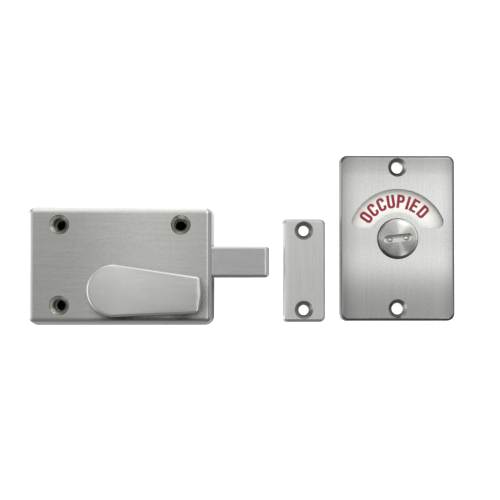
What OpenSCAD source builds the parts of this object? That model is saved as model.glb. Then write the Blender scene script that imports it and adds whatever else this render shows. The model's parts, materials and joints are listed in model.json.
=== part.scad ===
// Toilet indicator bolt: a lever-worked rim bolt, its keep plate and a coin-turn indicator plate,
// laid side by side on their backs. +X runs along the throw of the bolt, +Z out of the faces.

/* [Lock case] */
// Width of the case along the throw of the bolt, at the back
case_w = 80; // [76:0.5:96]
// Height of the case at the back
case_h = 51; // [50:0.5:60]
// Depth of the case from the back to the front face
case_d = 18; // [17.5:0.25:22]
// Corner radius of the case at the back
case_corner = 3.8; // [3:0.1:8]
// How far each side leans in towards the front face
case_draft = 1.5; // [0.5:0.1:2]
// Radius of the round-over at the front edge
case_fillet = 2.2; // [0.8:0.1:2.4]
// Thickness of the side walls
case_wall = 2; // [1.5:0.1:2.6]
// Thickness of the front wall
case_front = 2.5; // [2:0.1:3]
// Thickness of the ribs that guide the bolt
rib_t = 1.6; // [1:0.1:2]
// Thickness of the back plate
back_t = 1.5; // [1.2:0.1:2]

/* [Lock fixings] */
// Distance between the fixing holes along the case
fixing_x = 51; // [48:0.5:56]
// Distance between the fixing holes across the case
fixing_y = 34; // [32:0.5:38]
// Diameter of each fixing hole
fixing_hole_d = 4.8; // [4:0.1:5.2]
// Diameter of the sunk screw head's seat
fixing_head_d = 8.4; // [7.5:0.1:9]
// Straight depth of the seat before its cone starts
fixing_sink = 0.5; // [0.3:0.1:1.5]
// Diameter of the boss round each fixing hole
fixing_boss_d = 10.6; // [10:0.1:11.2]
// Distance of the back plate's screws from the case's centre, along the case
plate_screw_x = 14; // [13.5:0.5:16]
// Distance of the back plate's screws from the case's centre, across the case
plate_screw_y = 18; // [17:0.25:18.5]
// Shank diameter of the back plate's screws
plate_screw_d = 2.5; // [2:0.1:3]
// Head diameter of the back plate's screws
plate_screw_head_d = 5; // [4.4:0.1:5.6]
// Length of the back plate's screws
plate_screw_len = 8; // [6:0.5:10]
// Diameter of the pillar that each of these screws bites into
pillar_d = 5.6; // [5:0.1:6]

/* [Bolt] */
// Height of the bolt
bolt_h = 13.5; // [12.5:0.1:14.5]
// Thickness of the bolt, front to back
bolt_t = 8; // [7:0.1:8.5]
// Height of the bolt's centre line above the centre of the case
bolt_rise = 1.6; // [1:0.1:2.2]
// Distance from the case's front face back to the bolt's front face
bolt_set = 3; // [2.8:0.1:3.4]
// Corner radius of the bolt, seen from the front
bolt_corner = 1.6; // [1:0.1:2]
// How far the bolt's sides lean in towards its front
bolt_draft = 0.3; // [0.1:0.05:0.5]
// Radius of the round-over on the bolt's front edges
bolt_fillet = 1.1; // [0.5:0.1:1.2]
// Radius of the larger round-over at the nose
nose_round = 2.2; // [1.2:0.1:4]
// How far the drawn bolt's nose stops short of the case's edge
nose_short = 0.3; // [0:0.1:1.5]
// Diameter of the pin that stops the bolt at both ends of its travel
stop_pin_d = 3; // [2:0.1:3.4]
// How far the stop pin's slot lies above the bolt's centre line
stop_rise = 2.6; // [2:0.1:3.2]
// Depth of the stop pin's slot in the bolt
stop_depth = 2.8; // [2:0.1:3.2]

/* [Drive] */
// Tooth size, as pitch diameter over tooth count
tooth_module = 1; // [0.9:0.05:1.05]
// Number of teeth on the pinion
pinion_teeth = 15; // [14:1:16]
// Lean of the tooth flanks
pressure_angle = 25; // [22:0.5:26]
// Play between a tooth and its gap, measured along the pitch line
tooth_play = 0.24; // [0.16:0.02:0.4]
// Length of the pinion along its axis
pinion_face = 5.2; // [4:0.1:5.4]
// How far the tips of the rack lie above the bolt's lower edge
rack_relief = 1; // [0.4:0.1:1]
// How far the rack runs on past the pinion's centre at each end
rack_lead = 8; // [7.5:0.1:9]
// Swing of the lever from thrown to drawn, in degrees
lever_travel = 180; // [150:5:180]
// Place of the lever's centre along the case, from the middle
pivot_x = -2.8; // [-3.5:0.1:0]

/* [Lever] */
// Radius of the lever's round end
hub_r = 11.1; // [9.5:0.1:11.5]
// Distance from the lever's centre to the end of its tip
lever_reach = 37.5; // [30:0.5:38]
// Width of the lever at its tip
tip_w = 15.7; // [10:0.1:16.4]
// Corner radius of the tip
tip_corner = 2; // [1.6:0.1:3]
// Thickness of the lever at its round end
lever_t = 6.6; // [5:0.1:8]
// How much thinner the lever is at its tip, for the finger to get under
tip_lift = 1.6; // [0:0.1:2.4]
// Radius of the round-over along the lever's top edge
lever_fillet = 0.9; // [0.6:0.1:1.7]
// Lean of the lever's edge
lever_draft = 0.3; // [0.1:0.05:0.5]
// How far the middle of the tip bulges out past its corners
tip_bulge = 0.6; // [0.1:0.1:1.5]
// Lean of the thrown lever past the level, in degrees
lever_lean = -2.9; // [-5:0.1:0]
// Diameter of the lever's spigot
spigot_d = 9; // [8.6:0.1:9.4]
// Distance across the flats that drive the pinion
drive_flats = 7.6; // [7.2:0.1:7.8]
// Side of the square spindle socket in the lever and in the coin turn
spindle_w = 4.2; // [3.8:0.1:4.4]
// Depth of the spindle socket in the lever
spindle_deep = 9; // [6:0.5:11]
// Outer diameter of the bush's sleeve
bush_d = 12; // [11.6:0.1:12.4]
// Diameter of the bush's flange under the lever
bush_flange_d = 17; // [15:0.5:18]
// Thickness of the bush's flange
bush_flange_t = 0.8; // [0.5:0.1:1.2]
// Diameter of the boss inside the case that holds the bush
hub_boss_d = 14.4; // [14:0.1:15]
// Length of that boss, inwards from the front wall
hub_boss_len = 2.6; // [2:0.1:3]
// Thickness of the circlip
circlip_t = 0.8; // [0.6:0.1:1]
// Depth of the circlip's groove
circlip_groove = 0.5; // [0.3:0.05:0.6]
// Outer diameter of the circlip
circlip_d = 12.4; // [11.5:0.1:13]
// Height of the dished spring washer
dish_h = 0.8; // [0.6:0.05:1]
// Sheet thickness of the dished spring washer
dish_t = 0.4; // [0.3:0.05:0.5]

/* [Bolt spring] */
// Span of the bowed leaf that keeps the bolt from rattling
leaf_span = 26; // [22:0.5:28]
// Width of the leaf
leaf_w = 6.6; // [5:0.2:7]
// Sheet thickness of the leaf
leaf_t = 0.5; // [0.4:0.05:0.7]
// Length of the leaf's riveted foot
leaf_foot = 6; // [5:0.5:7]
// Place of the leaf's crown along the case, from the middle
leaf_x = 20; // [18:0.5:21]
// Shank diameter of the leaf's rivet
leaf_rivet_d = 2; // [1.6:0.1:2.4]
// Head diameter of the leaf's rivet
leaf_rivet_head_d = 3.8; // [3:0.1:4.2]

/* [Keep] */
// Width of the keep plate
keep_w = 18.9; // [16:0.1:22]
// Height of the keep plate
keep_h = 44.8; // [44:0.2:52]
// Thickness of the keep plate
keep_t = 4; // [3:0.1:6]
// Corner radius of the keep plate
keep_corner = 2.4; // [2.1:0.1:4]
// How far the keep's sides lean in towards its front
keep_draft = 0.25; // [0.1:0.05:0.5]
// Radius of the round-over along the keep's front edge
keep_fillet = 1.6; // [0.6:0.1:1.8]
// Distance between the keep's two holes
keep_pitch = 34.2; // [32:0.1:36]
// Diameter of the keep's holes
keep_hole_d = 4.4; // [4:0.1:5]
// Diameter of the seats for the screw heads
keep_head_d = 8; // [7:0.1:8.6]

/* [Indicator plate] */
// Width of the indicator plate
plate_w = 50; // [49:0.5:60]
// Height of the indicator plate
plate_h = 71.9; // [71:0.1:84]
// Depth of the indicator plate
plate_d = 5; // [5:0.1:7]
// Thickness of the indicator plate's face
plate_front = 1.6; // [1.2:0.1:1.7]
// Thickness of the indicator plate's rim
plate_rim = 1.6; // [1.2:0.1:1.8]
// Corner radius of the indicator plate
plate_corner = 3.4; // [2.6:0.1:6]
// How far the plate's sides lean in towards its front
plate_draft = 0.25; // [0.1:0.05:0.5]
// Radius of the round-over along the plate's front edge
plate_fillet = 1.4; // [0.5:0.1:1.6]
// Distance between the plate's two holes
plate_pitch = 61; // [60:0.5:62.5]
// Diameter of the plate's holes
plate_hole_d = 5; // [4.2:0.1:5.4]
// Diameter of the seats for the screw heads
plate_head_d = 8.1; // [7:0.1:8.6]
// Diameter of the boss round each hole
plate_boss_d = 9; // [8.8:0.1:9.4]
// How far the coin turn lies below the middle of the plate
turn_drop = 0.3; // [0:0.1:1]
// Outer radius of the window
window_outer = 21.5; // [19:0.1:21.8]
// Inner radius of the window
window_inner = 11.2; // [10.6:0.1:13]
// Height of the window's lower edge above the turn's centre
window_low = 4.4; // [3:0.1:7]
// Radius of the window's corners
window_corner = 3; // [0.5:0.1:3.4]
// Width of the bevel along the window's outer arc
window_bevel = 0.8; // [0.2:0.1:1]

/* [Coin turn] */
// Diameter of the coin turn's head
turn_d = 17.7; // [15:0.1:19]
// Height of the head above the plate
turn_rise = 2.5; // [2.2:0.1:3.5]
// Width of the bevel round the head
turn_bevel = 1.3; // [0.6:0.1:1.6]
// Width of the steep edge between the bevel and the head's side, within the bevel's width
turn_edge = 0.5; // [0.2:0.1:0.6]
// Height of that steep edge
turn_edge_h = 1.2; // [0.4:0.1:1.2]
// Diameter of the turn's neck in the plate
neck_d = 12; // [11.4:0.1:12.6]
// Length of the coin slot
slot_len = 12.6; // [10.4:0.1:12.6]
// Width of the coin slot at the mouth
slot_w = 3.4; // [3:0.1:3.8]
// Width of the coin slot at the floor
slot_floor = 2; // [1.9:0.05:2.4]
// Depth of the coin slot
slot_deep = 1.5; // [1:0.1:1.7]
// Lean of the coin slot in the thrown position, in degrees
slot_lean = 6.5; // [0:0.5:10]
// Diameter of the printed disc
disc_d = 45.6; // [44.4:0.2:45.8]
// Thickness of the printed disc
disc_t = 1; // [0.8:0.1:1.1]
// Thickness of the nylon washer between disc and plate
washer_t = 0.4; // [0.3:0.05:0.5]
// Diameter of the nylon washer
washer_d = 19; // [16:0.5:20.5]
// Thickness of the plate that the rivets clinch on
clinch_t = 1.2; // [0.9:0.1:1.3]
// Diameter of that plate
clinch_d = 13; // [11:0.1:15]
// Diameter of the two rivets in the coin slot
turn_rivet_d = 1.8; // [1.5:0.05:1.85]
// Diameter of the rivets' clinched heads at the back
turn_rivet_head_d = 2.8; // [2.2:0.1:3.2]
// Distance between the two rivets
turn_rivet_pitch = 7.2; // [7:0.1:7.8]

/* [Layout] */
// Clear distance from the thrown bolt's nose to the keep
keep_gap = 5.8; // [2:0.1:30]
// Clear distance from the keep to the indicator plate
plate_gap = 6; // [2:0.1:30]
// Height of the keep's lower edge above the case's lower edge
keep_lift = 1.2; // [0:0.1:3]
// Height of the indicator plate's lower edge above the case's lower edge
plate_lift = 1.6; // [0:0.1:3]

/* [Fits] */
// Gap on each side of a sliding piece
slide_gap = 0.15; // [0.1:0.01:0.2]
// Radial gap of a turning piece
run_gap = 0.05; // [0.03:0.01:0.08]
// Gap of a piece that is seated and does not move
seat_gap = 0.03; // [0.02:0.01:0.06]
// Gap between faces that turn past each other
face_gap = 0.1; // [0.08:0.01:0.15]

/* [Hidden] */
$fn = 64;

// How far a cut runs on past the face that it breaks
cut_over = 1;
// Facets round the lever's blended corners and the window's corners
blend_fn = 40;
// Points along one involute tooth flank
flank_steps = 6;
// Clearance under the roots of the teeth, in tooth modules
root_clear = 0.25;
// How far the stop pin is pressed into the front wall
pin_press = 1.5;
// Width of the circlip's open mouth
circlip_mouth = 3.4;
// How far a rivet's head stands up
rivet_head_h = 0.35;

satin_chrome = [0.68, 0.69, 0.67];
bright_steel = [0.76, 0.77, 0.76];
zinc_grey = [0.6, 0.61, 0.62];
nylon_white = [0.92, 0.91, 0.87];
enamel_cream = [0.95, 0.94, 0.88];

// Heights of the lock's layers above the back
case_inner_z = case_d - case_front;
bolt_front_z = case_d - bolt_set;
bolt_back_z = bolt_front_z - bolt_t;
boss_end_z = case_inner_z - hub_boss_len;
pinion_front_z = boss_end_z - face_gap;
pinion_back_z = pinion_front_z - pinion_face;
dish_back_z = pinion_back_z - face_gap - dish_h;
circlip_back_z = dish_back_z - circlip_t;
spigot_end_z = circlip_back_z - circlip_t;
lever_z = case_d + bush_flange_t + face_gap;

// Rack and pinion
pitch_r = tooth_module * pinion_teeth / 2;
tip_r = pitch_r + tooth_module;
root_r = pitch_r - tooth_module * (1 + root_clear);
base_r = pitch_r * cos(pressure_angle);
tooth_pitch = PI * tooth_module;
throw = pitch_r * lever_travel * PI / 180;
// The dished washer turns clear of the tips of the rack
dish_r = pitch_r - tooth_module - 2 * slide_gap;

// Places in the lock, from the middle of the case
bolt_low = bolt_rise - bolt_h / 2;
bolt_top = bolt_rise + bolt_h / 2;
rack_tip_y = bolt_low + rack_relief;
rack_pitch_y = rack_tip_y + tooth_module;
rack_root_y = rack_pitch_y + tooth_module * (1 + root_clear);
pivot_y = rack_pitch_y - pitch_r;
tail_x = pivot_x - rack_lead;
rack_end_x = pivot_x + throw + rack_lead;
nose_x = case_w / 2 - nose_short + throw;
rack_step_y = pivot_y + hub_boss_d / 2 + 2 * slide_gap;
stop_pos = [pivot_x, bolt_rise + stop_rise, 0];
leaf_end_x = leaf_x - leaf_span / 2;
leaf_rivet_pos = [leaf_end_x - leaf_foot / 2, bolt_rise, 0];

// Heights of the indicator's layers above its back
plate_inner_z = plate_d - plate_front;
disc_front_z = plate_inner_z - washer_t - 2 * run_gap;
disc_back_z = disc_front_z - disc_t;
clinch_back_z = disc_back_z - clinch_t;
turn_front_z = plate_d + turn_rise;
slot_floor_z = turn_front_z - slot_deep;

// Places of the three pieces, with the middle of the set at the origin
set_w = case_w / 2 + nose_x + keep_gap + keep_w + plate_gap + plate_w;
set_h = max(case_h, keep_lift + keep_h, plate_lift + plate_h);
lock_pos = [case_w / 2 - set_w / 2, case_h / 2 - set_h / 2, 0];
keep_pos = [lock_pos.x + nose_x + keep_gap + keep_w / 2, keep_lift + keep_h / 2 - set_h / 2, 0];
plate_pos = [set_w / 2 - plate_w / 2, plate_lift + plate_h / 2 - set_h / 2, 0];

function turned(p, a) = [p.x * cos(a) - p.y * sin(a), p.x * sin(a) + p.y * cos(a)];

// A point of the involute of the base circle after rolling by an angle
function involute(roll) =
    let (arc = roll * PI / 180)
    base_r * [cos(roll) + arc * sin(roll), sin(roll) - arc * cos(roll)];

// Outline of one pinion tooth pointing at the angle mid
function tooth_points(mid) =
    let (
        tip_roll = sqrt(pow(tip_r / base_r, 2) - 1) * 180 / PI,
        spread = tan(pressure_angle) * 180 / PI - pressure_angle,
        half = 90 / pinion_teeth + spread - tooth_play / 4 / pitch_r * 180 / PI,
        flank = [for (k = [0 : flank_steps]) involute(tip_roll * k / flank_steps)]
    )
    concat(
        [turned([root_r, 0], mid - half)],
        [for (k = [0 : flank_steps]) turned(flank[k], mid - half)],
        [for (k = [flank_steps : -1 : 0]) turned([flank[k].x, -flank[k].y], mid + half)],
        [turned([root_r, 0], mid + half)]
    );

// Outline of one rack tooth whose middle is at x
function rack_tooth(x) =
    let (
        half = tooth_pitch / 4 - tooth_play / 4,
        lean = tan(pressure_angle),
        tip = half - tooth_module * lean,
        root = half + tooth_module * (1 + root_clear) * lean
    )
    [[x - root, rack_root_y], [x - tip, rack_tip_y], [x + tip, rack_tip_y], [x + root, rack_root_y]];

// Section of an edge: it leans in by draft up to the height d and ends in a fillet,
// which is no larger than the corner radius r leaves room for
module edge_section(r, d, draft, fillet) {
    lean = atan(draft / d);
    soft = min(fillet, (r - draft) / (1 / cos(lean) - tan(lean)));
    mid = [r - (d - soft) * tan(lean) - soft / cos(lean), d - soft];
    polygon([[0, 0], [r, 0], mid + soft * [cos(lean), sin(lean)], [mid.x, d], [0, d]]);
    translate(mid) intersection() {
        circle(soft);
        square(soft);
    }
}

// A block w by h with corners of radius r, whose edge all round has the section given as child
module swept_block(w, h, r, d) {
    translate([r - w / 2, r - h / 2, 0]) cube([w - 2 * r, h - 2 * r, d]);
    for (i = [0 : 3]) {
        along = i % 2 == 0 ? w : h;
        across = i % 2 == 0 ? h : w;
        rotate(90 * i) translate([along / 2 - r, across / 2 - r, 0]) {
            rotate_extrude(angle = 90) children();
            rotate([90, 0, 0]) linear_extrude(across - 2 * r) children();
        }
    }
}

// A block with leaning sides and a rounded front edge
module soft_block(w, h, r, d, draft, fillet) {
    swept_block(w, h, r, d) edge_section(r, d, draft, fillet);
}

// A plain slab with rounded corners
module slab(w, h, r, d) {
    swept_block(w, h, r, d) square([r, d]);
}

// A hole for a countersunk screw, from z = 0 up to the front face at height d
module sunk_hole(d, hole_d, head_d, sink) {
    cone = (head_d - hole_d) / 2;
    translate([0, 0, -cut_over]) cylinder(d = hole_d, h = d + 2 * cut_over);
    translate([0, 0, d - sink - cone]) cylinder(d1 = hole_d, d2 = head_d, h = cone);
    translate([0, 0, d - sink]) cylinder(d = head_d, h = sink + cut_over);
}

module at_lock() translate(lock_pos) children();

module at_pivot() at_lock() translate([pivot_x, pivot_y, 0]) rotate(lever_lean) children();

module at_keep() translate(keep_pos) children();

module at_plate() translate(plate_pos) children();

module at_turn() at_plate() translate([0, -turn_drop, 0]) rotate(slot_lean) children();

module at_corners(x, y) for (i = [-1, 1], j = [-1, 1]) translate([i * x, j * y, 0]) children();

module at_fixings() at_corners(fixing_x / 2, fixing_y / 2) children();

module at_plate_screws() at_corners(plate_screw_x, plate_screw_y) children();

// Two places above and below the middle
module at_pair(pitch) for (j = [-1, 1]) translate([0, j * pitch / 2, 0]) children();

// Inside of the case, open at the back
module case_cavity() {
    r = case_corner - case_wall;
    lean = case_draft / case_d;
    top = case_inner_z + cut_over;
    translate([0, 0, -cut_over]) swept_block(case_w - 2 * case_wall, case_h - 2 * case_wall, r, top)
        polygon([[0, 0], [r + lean * cut_over, 0], [r - lean * case_inner_z, top], [0, top]]);
}

// Bosses, pillars and ribs that stand in the cavity
module case_inside() {
    rib_x = pivot_x + tip_r + rib_t;
    rib_h = case_d - bolt_back_z;
    translate([0, 0, -cut_over]) at_fixings() cylinder(d = fixing_boss_d, h = case_d);
    translate([0, 0, back_t]) at_plate_screws() cylinder(d = pillar_d, h = case_d);
    translate([pivot_x, pivot_y, boss_end_z]) cylinder(d = hub_boss_d, h = case_d);
    translate([-case_w / 2, bolt_top + slide_gap, bolt_back_z]) cube([case_w, rib_t, rib_h]);
    translate([rib_x, bolt_low - slide_gap - rib_t, bolt_back_z]) cube([case_w / 2, rib_t, rib_h]);
}

// The bolt's mouth in the side of the case
module bolt_mouth() {
    deep = 2 * (case_wall + case_draft + cut_over);
    translate([case_w / 2, bolt_rise, bolt_front_z - bolt_t / 2])
        cube([deep, bolt_h + 2 * slide_gap, bolt_t + 2 * slide_gap], center = true);
}

module lock_case() color(satin_chrome) at_lock() difference() {
    soft_block(case_w, case_h, case_corner, case_d, case_draft, case_fillet);
    difference() {
        case_cavity();
        case_inside();
    }
    at_fixings() sunk_hole(case_d, fixing_hole_d, fixing_head_d, fixing_sink);
    at_plate_screws() cylinder(d = plate_screw_d + 2 * seat_gap, h = plate_screw_len + cut_over);
    translate([pivot_x, pivot_y, 0]) cylinder(d = bush_d + 2 * seat_gap, h = case_d + cut_over);
    translate(stop_pos) cylinder(d = stop_pin_d + 2 * seat_gap, h = case_inner_z + pin_press);
    bolt_mouth();
}

module back_plate() color(zinc_grey) at_lock() difference() {
    inset = case_wall + case_draft * back_t / case_d + slide_gap;
    slab(case_w - 2 * inset, case_h - 2 * inset, case_corner - case_wall, back_t);
    translate([0, 0, -cut_over]) {
        at_fixings() cylinder(d = fixing_boss_d + 2 * slide_gap, h = back_t + 2 * cut_over);
        translate([pivot_x, pivot_y, 0]) cylinder(d = circlip_d + 2 * slide_gap, h = back_t + 2 * cut_over);
        translate(leaf_rivet_pos) cylinder(d = leaf_rivet_d + 2 * seat_gap, h = back_t + 2 * cut_over);
    }
    at_plate_screws() translate([0, 0, back_t]) mirror([0, 0, 1])
        sunk_hole(back_t, plate_screw_d + 2 * seat_gap, plate_screw_head_d + 2 * seat_gap, seat_gap);
}

module back_plate_screws() color(bright_steel) at_lock() at_plate_screws() {
    head_h = (plate_screw_head_d - plate_screw_d) / 2;
    cylinder(d1 = plate_screw_head_d, d2 = plate_screw_d, h = head_h);
    cylinder(d = plate_screw_d, h = plate_screw_len);
}

module lever_bush() color(nylon_white) at_pivot() difference() {
    union() {
        translate([0, 0, boss_end_z]) cylinder(d = bush_d, h = case_d - boss_end_z);
        translate([0, 0, case_d]) cylinder(d = bush_flange_d, h = bush_flange_t);
    }
    cylinder(d = spigot_d + 2 * run_gap, h = case_d + bush_flange_t + cut_over);
}

module bolt_stop_pin() color(bright_steel) at_lock() {
    pin_z = bolt_front_z - stop_depth + 2 * slide_gap;
    translate(stop_pos + [0, 0, pin_z]) cylinder(d = stop_pin_d, h = case_inner_z + pin_press - pin_z);
}

// Side view of the leaf, with the back plate's inner face at y = 0
module leaf_outline() {
    rise = bolt_back_z - slide_gap - back_t;
    bow_r = (pow(leaf_span / 2, 2) + pow(rise, 2)) / (2 * rise);
    intersection() {
        translate([leaf_x, rise - bow_r]) difference() {
            circle(bow_r);
            circle(bow_r - leaf_t);
        }
        translate([leaf_x - leaf_span, 0]) square(2 * leaf_span);
    }
    translate([leaf_end_x - leaf_foot, 0]) square([leaf_foot + 2 * leaf_t, leaf_t]);
}

// The leaf is bowed up from the back plate until its crown bears on the back of the bolt
module bolt_spring() color(bright_steel) at_lock() difference() {
    translate([0, bolt_rise + leaf_w / 2, back_t]) rotate([90, 0, 0]) linear_extrude(leaf_w) leaf_outline();
    translate(leaf_rivet_pos) cylinder(d = leaf_rivet_d + 2 * seat_gap, h = back_t + leaf_t + cut_over);
}

module spring_rivet() color(bright_steel) at_lock() translate(leaf_rivet_pos) {
    head_z = back_t + leaf_t;
    cylinder(d = leaf_rivet_d, h = head_z + rivet_head_h);
    translate([0, 0, head_z]) cylinder(d1 = leaf_rivet_head_d, d2 = leaf_rivet_d, h = rivet_head_h);
}

// The gaps of the rack, with the relief under the tips of its teeth
module rack_gaps() {
    first = ceil((tail_x - pivot_x) / tooth_pitch);
    last = floor((rack_end_x - pivot_x) / tooth_pitch - 1 / 2);
    low = bolt_low - cut_over;
    teeth = [for (k = [first : last]) each rack_tooth(pivot_x + k * tooth_pitch)];
    polygon(concat(
        [[tail_x - cut_over, low], [tail_x - cut_over, teeth[0].y]],
        teeth,
        [[rack_end_x, teeth[len(teeth) - 1].y], [rack_end_x, low]]
    ));
}

// The bar that the bolt is cut from, with the nose rounded off towards the front
module bolt_bar() intersection() {
    bar_l = nose_x - tail_x;
    translate([tail_x + bar_l / 2, bolt_rise, bolt_back_z])
        soft_block(bar_l, bolt_h, bolt_corner, bolt_t, bolt_draft, bolt_fillet);
    translate([tail_x, bolt_top + cut_over, bolt_back_z]) rotate([90, 0, 0])
        linear_extrude(bolt_h + 2 * cut_over) edge_section(bar_l, bolt_t, 0, nose_round);
}

// The slot that runs along the stop pin
module stop_slot() translate(stop_pos + [0, 0, bolt_front_z - stop_depth]) {
    slot_r = stop_pin_d / 2 + slide_gap;
    for (x = [0, throw]) translate([x, 0, 0]) cylinder(r = slot_r, h = stop_depth + cut_over);
    translate([0, -slot_r, 0]) cube([throw, 2 * slot_r, stop_depth + cut_over]);
}

module bolt() color(satin_chrome) at_lock() difference() {
    bolt_bar();
    translate([0, 0, bolt_back_z - cut_over]) linear_extrude(bolt_t + 2 * cut_over) rack_gaps();
    translate([tail_x - cut_over, bolt_low - cut_over, pinion_front_z])
        cube([rack_end_x - tail_x + cut_over, rack_step_y - bolt_low + cut_over, bolt_t]);
    stop_slot();
}

// A round of the lever: radius r, from height low up to the lever's top
module lever_round(x, y, r, low) translate([x, y, low])
    rotate_extrude($fn = blend_fn) edge_section(r, lever_t - low, lever_draft, lever_fillet);

module lever_paddle() hull() {
    end_x = lever_reach - tip_corner;
    lever_round(0, 0, hub_r, 0);
    for (side = [-1, 1])
        lever_round(end_x - tip_bulge, side * (tip_w / 2 - tip_corner), tip_corner, tip_lift);
    lever_round(end_x, 0, tip_corner, tip_lift);
}

module lever() color(satin_chrome) at_pivot() difference() {
    union() {
        translate([0, 0, lever_z]) lever_paddle();
        translate([0, 0, pinion_front_z]) cylinder(d = spigot_d, h = lever_z - pinion_front_z + lever_fillet);
        translate([0, 0, spigot_end_z]) drive_square(drive_flats, spigot_d, pinion_front_z - spigot_end_z);
    }
    translate([0, 0, circlip_back_z]) difference() {
        cylinder(d = spigot_d + cut_over, h = circlip_t);
        cylinder(d = spigot_d - 2 * circlip_groove, h = circlip_t);
    }
    translate([0, 0, spigot_end_z - cut_over]) spindle_square(spindle_deep + cut_over);
}

// A round bar of diameter d with four flats
module drive_square(flats, d, len) intersection() {
    cylinder(d = d, h = len);
    translate([-flats / 2, -flats / 2, 0]) cube([flats, flats, len]);
}

module drive_pinion() color(zinc_grey) at_lock() translate([pivot_x, pivot_y, pinion_back_z]) difference() {
    linear_extrude(pinion_face) polygon([
        for (i = [0 : pinion_teeth - 1]) each tooth_points(90 + (i + 1 / 2) * 360 / pinion_teeth)
    ]);
    rotate(lever_lean) translate([0, 0, -cut_over])
        drive_square(drive_flats + 2 * seat_gap, spigot_d + 2 * seat_gap, pinion_face + 2 * cut_over);
}

module pinion_washer() color(bright_steel) at_pivot() translate([0, 0, dish_back_z + face_gap / 2]) {
    inner = spigot_d / 2 + run_gap;
    rotate_extrude() polygon([[inner, dish_h - dish_t], [inner, dish_h], [dish_r, dish_t], [dish_r, 0]]);
}

module pinion_circlip() color(bright_steel) at_pivot() translate([0, 0, circlip_back_z + seat_gap]) {
    thick = circlip_t - 2 * seat_gap;
    inner_d = spigot_d - 2 * circlip_groove + 2 * seat_gap;
    difference() {
        cylinder(d = circlip_d, h = thick);
        translate([0, 0, -cut_over]) cylinder(d = inner_d, h = thick + 2 * cut_over);
        translate([0, -circlip_mouth / 2, -cut_over]) cube([circlip_d, circlip_mouth, thick + 2 * cut_over]);
    }
}

module keep_plate() color(satin_chrome) at_keep() difference() {
    soft_block(keep_w, keep_h, keep_corner, keep_t, keep_draft, keep_fillet);
    at_pair(keep_pitch) sunk_hole(keep_t, keep_hole_d, keep_head_d, seat_gap);
}

// The arched window round the coin turn
module window_outline() offset(r = window_corner, $fn = blend_fn) offset(delta = -window_corner)
    difference() {
        circle(window_outer);
        circle(window_inner);
        translate([-2 * window_outer, window_low - 4 * window_outer]) square(4 * window_outer);
    }

// The hollow behind the plate's face, left solid round the two fixing holes
module plate_hollow() difference() {
    deep = plate_inner_z + cut_over;
    slab(plate_w - 2 * plate_rim, plate_h - 2 * plate_rim, plate_corner - plate_rim, deep);
    for (j = [-1, 1]) rotate(90 - 90 * j) translate([0, plate_pitch / 2, -cut_over]) {
        cylinder(d = plate_boss_d, h = deep + 2 * cut_over);
        translate([-plate_boss_d / 2, 0, 0]) cube([plate_boss_d, plate_h, deep + 2 * cut_over]);
    }
}

module indicator_plate() color(satin_chrome) at_plate() difference() {
    soft_block(plate_w, plate_h, plate_corner, plate_d, plate_draft, plate_fillet);
    translate([0, 0, -cut_over]) plate_hollow();
    bevel_rise = window_bevel + cut_over;
    at_pair(plate_pitch) sunk_hole(plate_d, plate_hole_d, plate_head_d, seat_gap);
    translate([0, -turn_drop, 0]) {
        cylinder(d = neck_d + 2 * run_gap, h = plate_d + cut_over);
        translate([0, 0, plate_inner_z - cut_over])
            linear_extrude(plate_front + 2 * cut_over) window_outline();
        translate([0, 0, plate_d - window_bevel])
            linear_extrude(bevel_rise, scale = 1 + bevel_rise / window_outer) window_outline();
    }
}

// The spindle's square and the two rivets run through everything that turns with the coin turn
module spindle_square(h) translate([-spindle_w / 2, -spindle_w / 2, 0]) cube([spindle_w, spindle_w, h]);

module at_rivets() for (i = [-1, 1]) translate([i * turn_rivet_pitch / 2, 0, 0]) children();

module rivet_holes() at_rivets() cylinder(d = turn_rivet_d + 2 * seat_gap, h = turn_front_z);

module coin_turn() color(satin_chrome) at_turn() difference() {
    head_z = plate_d + face_gap;
    head_r = turn_d / 2;
    bevel_low_z = turn_front_z - turn_bevel + turn_edge;
    rotate_extrude() polygon([
        [0, disc_front_z], [neck_d / 2, disc_front_z], [neck_d / 2, head_z], [head_r, head_z],
        [head_r, bevel_low_z - turn_edge_h], [head_r - turn_edge, bevel_low_z],
        [head_r - turn_bevel, turn_front_z], [0, turn_front_z]
    ]);
    coin_slot();
    spindle_square(plate_d);
    rivet_holes();
}

// The slot's sides and ends lean out from the floor to the mouth
module coin_slot() {
    reach = (slot_len - slot_w) / 2;
    low = slot_floor / 2;
    top = slot_deep + cut_over;
    mouth = low + (slot_w - slot_floor) / 2 * top / slot_deep;
    translate([0, 0, slot_floor_z]) {
        for (i = [-1, 1]) translate([i * reach, 0, 0]) cylinder(r1 = low, r2 = mouth, h = top);
        translate([-reach, 0, 0]) rotate([90, 0, 90]) linear_extrude(2 * reach)
            polygon([[-low, 0], [low, 0], [mouth, top], [-mouth, top]]);
    }
}

module turn_washer() color(nylon_white) at_turn() translate([0, 0, disc_front_z + run_gap]) difference() {
    cylinder(d = washer_d, h = washer_t);
    translate([0, 0, -cut_over]) cylinder(d = neck_d + 2 * run_gap, h = washer_t + 2 * cut_over);
}

module indicator_disc() color(enamel_cream) at_turn() difference() {
    translate([0, 0, disc_back_z]) cylinder(d = disc_d, h = disc_t);
    spindle_square(plate_d);
    rivet_holes();
}

module clinch_plate() color(zinc_grey) at_turn() difference() {
    translate([0, 0, clinch_back_z]) cylinder(d = clinch_d, h = clinch_t);
    spindle_square(plate_d);
    rivet_holes();
}

// Each rivet shows as a low dome in the floor of the coin slot and is clinched at the back
module turn_rivets() color(bright_steel) at_turn() at_rivets() {
    translate([0, 0, clinch_back_z - rivet_head_h]) {
        cylinder(d = turn_rivet_head_d, h = rivet_head_h);
        cylinder(d = turn_rivet_d, h = slot_floor_z - clinch_back_z + rivet_head_h);
    }
    translate([0, 0, slot_floor_z]) cylinder(d1 = turn_rivet_d, d2 = turn_rivet_d / 2, h = rivet_head_h);
}

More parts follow.
